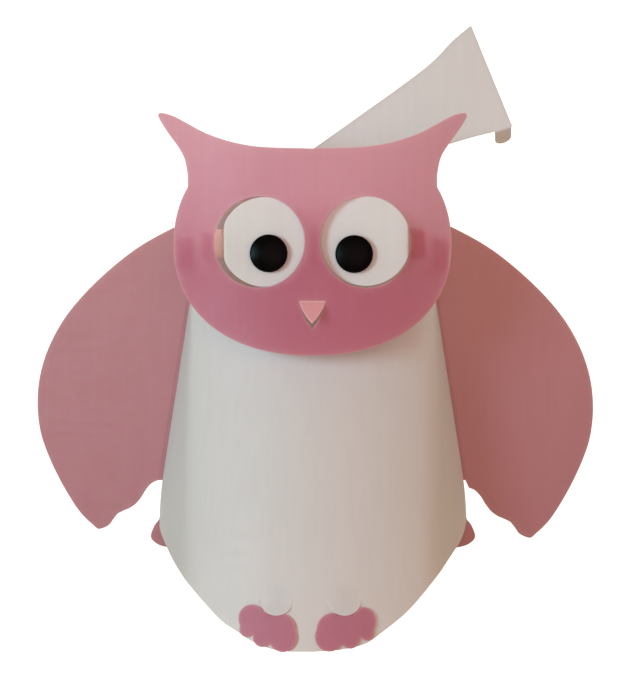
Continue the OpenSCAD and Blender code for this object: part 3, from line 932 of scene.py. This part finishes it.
def make_strap():
    body = refined(join(spline(STRAP_UPPER), STRAP_LOWER))
    ring = circle(STRAP_PIVOT, 5.6)
    edge = np.array(STRAP_LOWER[0]) - STRAP_LOWER[1]
    edge = edge / np.linalg.norm(edge)
    down = np.array([edge[1], -edge[0]])
    lock = refined(join([(LOCK_HALF, -1.5)], arc((0, LOCK_LEN), LOCK_HALF, 0, 180), [(-LOCK_HALF, -1.5)]))
    lock = LOCK_AT + np.outer(lock[:, 0], edge) + np.outer(lock[:, 1], down)
    parts = [body, ring, lock]
    outline = smoothed(united(parts, lambda p: np.any([inside(p, [part]) for part in parts], axis=0)))
    bend = math.radians(LOCK_BEND)

    def place(uv):
        p = uv - LOCK_AT
        d = p @ down
        on = (np.abs(p @ edge) < LOCK_HALF + 0.8) & (d > 0)
        soft = 0.6
        reach = np.where(on, np.sqrt(np.maximum(d, 0) ** 2 + soft**2) - soft, 0)
        flat = uv - np.outer(reach * (1 - math.cos(bend)), down)
        along = np.clip((uv[:, 0] - STRAP_PIVOT[0]) / 118, 0, 1)
        y = STRAP_FRONT + reach * math.sin(bend) + 1.2 * along**2
        return np.column_stack([flat[:, 0], y, flat[:, 1]])

    extra = [grid(LOCK_AT - [6, 15], LOCK_AT + [6, 3], 0.8)]
    obj = sheet("strap_sheet", [outline, circle(STRAP_PIVOT, TURNING_HOLE_R)], place, extra=extra)
    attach(obj, "strap")
    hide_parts("hand_strap")
    return obj


# ---------- rivets ----------

HEAD_H = 1.2  # height of a rivet's head


def head_profile(r, start, end, shank_r, shank_from):
    """A rivet from its shank's end, through the head's flat face, to its low domed top."""
    rise = 0.35 * (end - start)
    dome = [(r * k, end - rise * k**2) for k in (0.9, 0.75, 0.55, 0.3)]
    shank = [(0, shank_from), (shank_r - 0.3, shank_from), (shank_r, shank_from + 0.3)]
    corners = [(shank_r, start), (r - 0.1, start), (r, start + 0.2), (r, end - rise - 0.1), dome[0]]
    return shank + list(rounded(corners, 0.25)) + dome[1:] + [(0, end)]


def make_rivets():
    made = []
    x, z = STRAP_PIVOT
    strap_top = STRAP_FRONT + SHEET + 0.3
    strap_feet = [np.array([x, 0, z])]
    strap_profile = head_profile(4.5, strap_top, strap_top + HEAD_H, 2, -1.9)
    side_feet = [
        np.array([s * (float(seam_half(h)) - SIDE_RIVET_IN), 0, h]) for s in (-1, 1) for h in SIDE_RIVET_Z
    ]
    side_profile = head_profile(3.6, 0, HEAD_H, 1.6, -3.2)
    jobs = [
        ("strap_rivet", strap_feet, strap_profile, "rivet_white"),
        ("side_rivets", side_feet, side_profile, "rivet_pink"),
    ]
    for name, feet, profile, slot in jobs:
        obj = turned(name + "_turned", profile, feet, (0, 1, 0), 48)
        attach(obj, "body")
        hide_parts(name)
        made.append((obj, slot))
    outer = node_box("mask_rivets")[1][0]
    for side, name in ((-1, "mask_rivet_left"), (1, "mask_rivet_right")):
        profile = head_profile(4.5, outer - HEAD_H, outer, 2, outer - 6.1)
        obj = turned(name, profile, [np.array([0, PIVOT_Y, PIVOT_Z])], (side, 0, 0), 48)
        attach(obj, "body")
        if side > 0:
            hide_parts("mask_rivets")
        made.append((obj, "rivet_pink"))
    return made


# ---------- materials ----------


def node(tree, kind, **inputs):
    n = tree.nodes.new(kind)
    for key, value in inputs.items():
        n.inputs[key.replace("_", " ")].default_value = value
    return n


def plastic(
    name, colour, cut_colour, glow=0, through=None, rough=0.5, grain=1.0, mottling=0.025, specular=0.35
):
    """Matt plastic with a fine moulded grain. glow is the share of light let through, tinted by through."""
    mat = bpy.data.materials.new(name)
    mat.use_nodes = True
    tree = mat.node_tree
    tree.nodes.clear()
    link = tree.links.new
    place = node(tree, "ShaderNodeTexCoord").outputs["Object"]

    def noise(scale, detail, stretch=None):
        n = node(tree, "ShaderNodeTexNoise", Scale=scale, Detail=detail)
        if stretch:
            at = node(tree, "ShaderNodeMapping", Scale=stretch)
            link(place, at.inputs["Vector"])
            link(at.outputs["Vector"], n.inputs["Vector"])
        else:
            link(place, n.inputs["Vector"])
        return n.outputs["Fac"]

    # Cloudy thickness of the sheet, and faint lines along its direction of rolling
    cloud = noise(14, 3)
    lines = noise(60, 2, (6, 6, 0.35))
    both = tree.nodes.new("ShaderNodeMath")
    both.operation = "ADD"
    link(cloud, both.inputs[0])
    link(lines, both.inputs[1])
    shade = node(tree, "ShaderNodeMapRange")
    shade.inputs["From Min"].default_value, shade.inputs["From Max"].default_value = 0.6, 1.4
    shade.inputs["To Min"].default_value, shade.inputs["To Max"].default_value = 1 - mottling, 1 + mottling
    link(both.outputs[0], shade.inputs["Value"])
    tint = node(tree, "ShaderNodeMix")
    tint.data_type = "RGBA"
    tint.blend_type = "MULTIPLY"
    tint.inputs["Factor"].default_value = 1.0
    tint.inputs["A"].default_value = (*colour, 1)
    link(shade.outputs["Result"], tint.inputs["B"])
    # Cut colour along each cut edge: paler on most sheets, and darker on the strap as painted shade along its edge
    edge = node(tree, "ShaderNodeAttribute")
    edge.attribute_name = "cut"
    pale = node(tree, "ShaderNodeMix")
    pale.data_type = "RGBA"
    link(edge.outputs["Fac"], pale.inputs["Factor"])
    link(tint.outputs["Result"], pale.inputs["A"])
    pale.inputs["B"].default_value = (*cut_colour, 1)
    # Fine sand grain, with a few soft rub marks
    fine = noise(2600, 2)
    coarse = noise(700, 2)
    bump_in = node(tree, "ShaderNodeMix")
    bump_in.inputs["Factor"].default_value = 0.4
    link(fine, bump_in.inputs["A"])
    link(coarse, bump_in.inputs["B"])
    bump = node(tree, "ShaderNodeBump", Strength=0.35 * grain, Distance=0.00006)
    link(bump_in.outputs["Result"], bump.inputs["Height"])
    rub = noise(90, 5, (1, 1, 3))
    gloss = node(tree, "ShaderNodeMapRange")
    gloss.inputs["From Min"].default_value, gloss.inputs["From Max"].default_value = 0.35, 0.7
    gloss.inputs["To Min"].default_value, gloss.inputs["To Max"].default_value = rough - 0.05, rough + 0.08
    link(rub, gloss.inputs["Value"])
    body = node(tree, "ShaderNodeBsdfPrincipled")
    body.inputs["Specular IOR Level"].default_value = specular
    link(pale.outputs["Result"], body.inputs["Base Color"])
    link(gloss.outputs["Result"], body.inputs["Roughness"])
    link(bump.outputs["Normal"], body.inputs["Normal"])
    out = node(tree, "ShaderNodeOutputMaterial")
    if glow:
        scatter = node(tree, "ShaderNodeBsdfTranslucent")
        passed = node(tree, "ShaderNodeMix")
        passed.data_type = "RGBA"
        passed.blend_type = "MULTIPLY"
        passed.inputs["Factor"].default_value = 1.0
        passed.inputs["A"].default_value = (*through, 1)
        link(shade.outputs["Result"], passed.inputs["B"])
        link(passed.outputs["Result"], scatter.inputs["Color"])
        mix = tree.nodes.new("ShaderNodeMixShader")
        mix.inputs[0].default_value = glow
        link(body.outputs[0], mix.inputs[1])
        link(scatter.outputs[0], mix.inputs[2])
        link(mix.outputs[0], out.inputs["Surface"])
    else:
        link(body.outputs[0], out.inputs["Surface"])
    return mat


# Name, colour, colour of a cut edge, share of light let through and the colour it takes. The tab materials are
# more see-through than the sheets that the tabs are cut from, and the mask tabs' material is lighter too: painted
# light, which makes their dark patches of shade in the mask fainter. The eye tabs' tan is painted shade.
MATERIALS = {
    "pink_sheet": plastic("pink_sheet", (0.57, 0.24, 0.31), (0.8, 0.5, 0.54), 0.5, (0.64, 0.46, 0.4)),
    "foot_sheet": plastic("foot_sheet", (0.7, 0.29, 0.4), (0.9, 0.56, 0.6), 0.5, (0.8, 0.5, 0.5)),
    "mask_sheet": plastic("mask_sheet", (0.56, 0.11, 0.21), (0.76, 0.42, 0.46), 0.5, (0.96, 0.88, 0.87)),
    # Painted light: the mask's tabs are cut from the mask's sheet but take a lighter, more see-through copy of it,
    # so they cast less shade on the mask.
    "tab_sheet": plastic("tab_sheet", (0.6, 0.2, 0.3), (0.85, 0.5, 0.54), 0.92, (0.98, 0.92, 0.93)),
    # Painted light: the beak flap is cut from the mask's sheet, and its much lighter colour is painted light on
    # the flap.
    "beak_sheet": plastic("beak_sheet", (0.86, 0.41, 0.44), (0.88, 0.55, 0.55), 0.2, (0.8, 0.5, 0.52)),
    "white_sheet": plastic("white_sheet", (0.82, 0.81, 0.8), (0.88, 0.86, 0.84), 0.38, (0.8, 0.76, 0.74)),
    # The strap's darker cut colour is painted shade along its edges.
    "strap_sheet": plastic("strap_sheet", (0.79, 0.77, 0.75), (0.6, 0.58, 0.58), 0.2, (0.6, 0.58, 0.57)),
    "eye_white": plastic(
        "eye_white", (0.8, 0.78, 0.77), (0.86, 0.85, 0.83), 0.3, (0.85, 0.83, 0.8), grain=0.6
    ),
    # The eye tab's tan is painted shade: the tab is cut from the white disc and lies in the mask's shadow, lit
    # through the pink mask.
    "eye_tab": plastic(
        "eye_tab", (0.76, 0.52, 0.48), (0.86, 0.72, 0.68), 0.75, (0.92, 0.76, 0.7), grain=0.6
    ),
    "pupil_black": plastic(
        "pupil_black", (0.001, 0.001, 0.001), (0.001, 0.001, 0.001), rough=0.3, mottling=0.15, specular=0.05
    ),
    "rivet_white": plastic("rivet_white", (0.72, 0.7, 0.67), (0.72, 0.7, 0.67), rough=0.35, grain=0.5),
    "rivet_pink": plastic("rivet_pink", (0.5, 0.2, 0.23), (0.5, 0.2, 0.23), rough=0.35, grain=0.5),
}


def paint(obj, material):
    obj.data.materials.clear()
    obj.data.materials.append(MATERIALS[material])


def paint_eye(which):
    """The disc in white, and its side tab painted tan: painted shade, where the white tab lies in the mask's
    shadow and takes light through the pink mask.
    """
    disc = make_disc(which)
    paint(disc, "eye_white")
    disc.data.materials.append(MATERIALS["eye_tab"])
    fold = EYES[which][3][0][0]
    for face in disc.data.polygons:
        face.material_index = int(abs(face.center.x) / MM > fold + 1)


paint(make_body(), "white_sheet")
paint(make_back(), "pink_sheet")
for side, name in ((-1, "left_wing_sheet"), (1, "right_wing_sheet")):
    paint(make_wing(side, name), "pink_sheet")
for piece in make_mask():
    paint(piece, "tab_sheet" if "tab" in piece.name else "mask_sheet")
paint(make_beak(), "beak_sheet")
for which in ("left", "right"):
    paint_eye(which)
    paint(make_pupil(which), "pupil_black")
    paint(make_foot(which), "foot_sheet")
paint(make_strap(), "strap_sheet")
for piece, slot in make_rivets():
    paint(piece, slot)

# The caps inside the figure stay as the CAD made them, with softened edges
SLOTS = {s["node"]: s["material_slot"] for s in frame["record"]["subparts"]}
for name, obj in frame["nodes"].items():
    if not obj.hide_render:
        for s in obj.material_slots:
            s.material = MATERIALS[SLOTS[name]]
        weld = obj.modifiers.new("weld", "WELD")
        weld.merge_threshold = 0.01 * MM
        bevel = obj.modifiers.new("bevel", "BEVEL")
        bevel.width = 0.2 * MM
        bevel.segments = 2
        bevel.limit_method = "ANGLE"
        bevel.angle_limit = math.radians(40)


# ---------- stage, lights and camera ----------

FLOOR_Z, WALL_Y, STAGE_HALF, SWEEP_R, SWEEP_STEPS = -420, 1500, 3500, 700, 24
VIEW_HALF = 0.208  # half the picture's width over its distance
VIEW_SHAPE = 677 / 640  # height of the picture over its width


def make_stage():
    """A pale floor that sweeps up into the backdrop."""
    path = [(-STAGE_HALF, FLOOR_Z), (WALL_Y - SWEEP_R, FLOOR_Z)]
    for i in range(1, SWEEP_STEPS + 1):
        a = math.radians(90 * i / SWEEP_STEPS)
        path.append((WALL_Y - SWEEP_R + SWEEP_R * math.sin(a), FLOOR_Z + SWEEP_R * (1 - math.cos(a))))
    path.append((WALL_Y, STAGE_HALF))
    points = [(x, y, z) for y, z in path for x in (-STAGE_HALF, STAGE_HALF)]
    polys = [(2 * i, 2 * i + 1, 2 * i + 3, 2 * i + 2) for i in range(len(path) - 1)]
    obj = mesh_object("stage", points, polys)
    mat = bpy.data.materials.new("stage")
    mat.use_nodes = True
    shader = mat.node_tree.nodes["Principled BSDF"]
    shader.inputs["Base Color"].default_value = (0.86, 0.85, 0.84, 1)
    shader.inputs["Roughness"].default_value = 0.9
    shader.inputs["Emission Color"].default_value = (1, 1, 1, 1)
    shader.inputs["Emission Strength"].default_value = 0.9
    obj.data.materials.append(mat)
    # The backdrop only shows: the object's light comes from the lamps and the world
    obj.visible_diffuse = obj.visible_glossy = obj.visible_transmission = False


def make_light(name, at, size, power, colour, target=(0, -30, -70)):
    data = bpy.data.lights.new(name, "AREA")
    data.shape = "DISK"
    data.size = size * MM
    data.energy = power
    data.color = colour
    obj = bpy.data.objects.new(name, data)
    bpy.context.scene.collection.objects.link(obj)
    obj.location = np.array(at, float) * MM
    aim = (np.array(target, float) - at) * MM
    obj.rotation_mode = "QUATERNION"
    obj.rotation_quaternion = Vector(aim).to_track_quat("-Z", "Y")
    obj.visible_camera = False


def make_camera():
    data = bpy.data.cameras.new("camera")
    data.sensor_width = 36
    data.lens = data.sensor_width / 2 / (VIEW_HALF * VIEW_SHAPE)
    data.clip_start, data.clip_end = 0.05, 20
    obj = bpy.data.objects.new("camera", data)
    bpy.context.scene.collection.objects.link(obj)
    obj.location = (0.00364, -0.8, -0.062)
    obj.rotation_euler = (math.pi / 2, 0, 0)
    bpy.context.scene.camera = obj


make_stage()
make_light("window", (-1000, -1150, 80), 600, 15.4, (0.52, 0.87, 1))
make_light("fill", (120, -1000, 0), 800, 2.4, (1, 0.6, 0.67))
make_light("side", (1100, -150, 100), 700, 2, (0.85, 1, 0.95))
make_light("backdrop", (0, 900, 60), 1500, 3, (0.85, 0.95, 1))
make_light("behind_left", (-190, 150, 110), 240, 0.7, (0.8, 0.94, 1))
make_light("behind_right", (190, 150, 110), 240, 0.7, (0.8, 0.94, 1))
make_camera()
world = bpy.data.worlds.new("world")
world.use_nodes = True
world.node_tree.nodes["Background"].inputs["Color"].default_value = (1, 0.667, 0.395, 1)
world.node_tree.nodes["Background"].inputs["Strength"].default_value = 0.427
bpy.context.scene.world = world
bpy.context.scene.view_settings.view_transform = "Standard"
